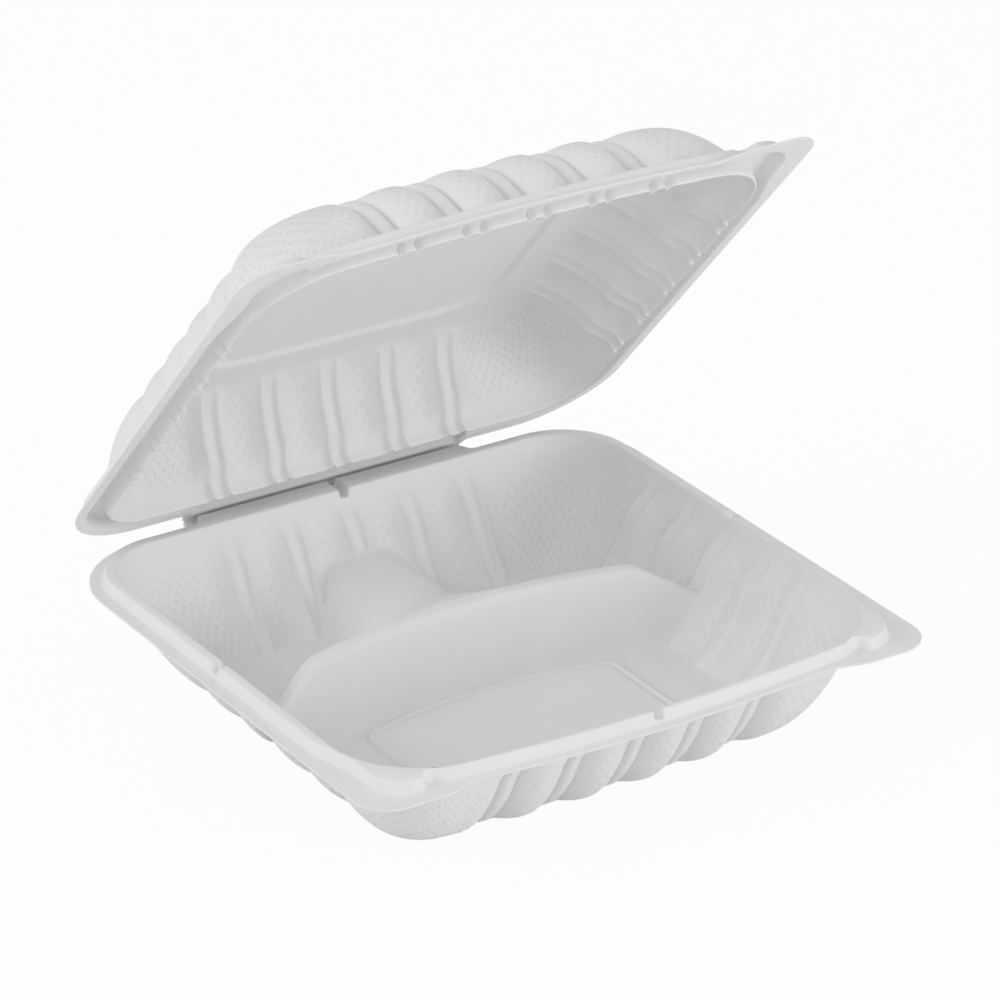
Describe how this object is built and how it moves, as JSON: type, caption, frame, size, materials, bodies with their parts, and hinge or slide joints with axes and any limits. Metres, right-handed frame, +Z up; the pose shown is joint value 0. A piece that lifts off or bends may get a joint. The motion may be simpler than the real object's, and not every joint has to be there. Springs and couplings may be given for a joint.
{
  "type": "hinged takeaway food container",
  "caption": "Shallow square food container with fluted sloping walls, a divided tray, a snap rim and a hinged fluted lid standing half open.",
  "frame": {"origin": "on the surface that the tray stands on, under the middle of the box", "axes": "+Z up, -Y towards the front edge that the hand opens, +X to the right seen from the front"},
  "size_m": [0.2346, 0.2297, 0.2108],
  "materials": {
    "white_polypropylene": "satin mineral-filled sheet"
  },
  "bodies": {
    "base": {"base_tray": "white_polypropylene"},
    "lid": {"lid": "white_polypropylene"}
  },
  "joints": [
    {"name": "lid_hinge", "type": "hinge", "parent": "base", "child": "lid", "pos_m": [0, 0.1127, 0.04065], "axis": [-1, 0, 0], "range_deg": [-47.6, 132.4]}
  ]
}
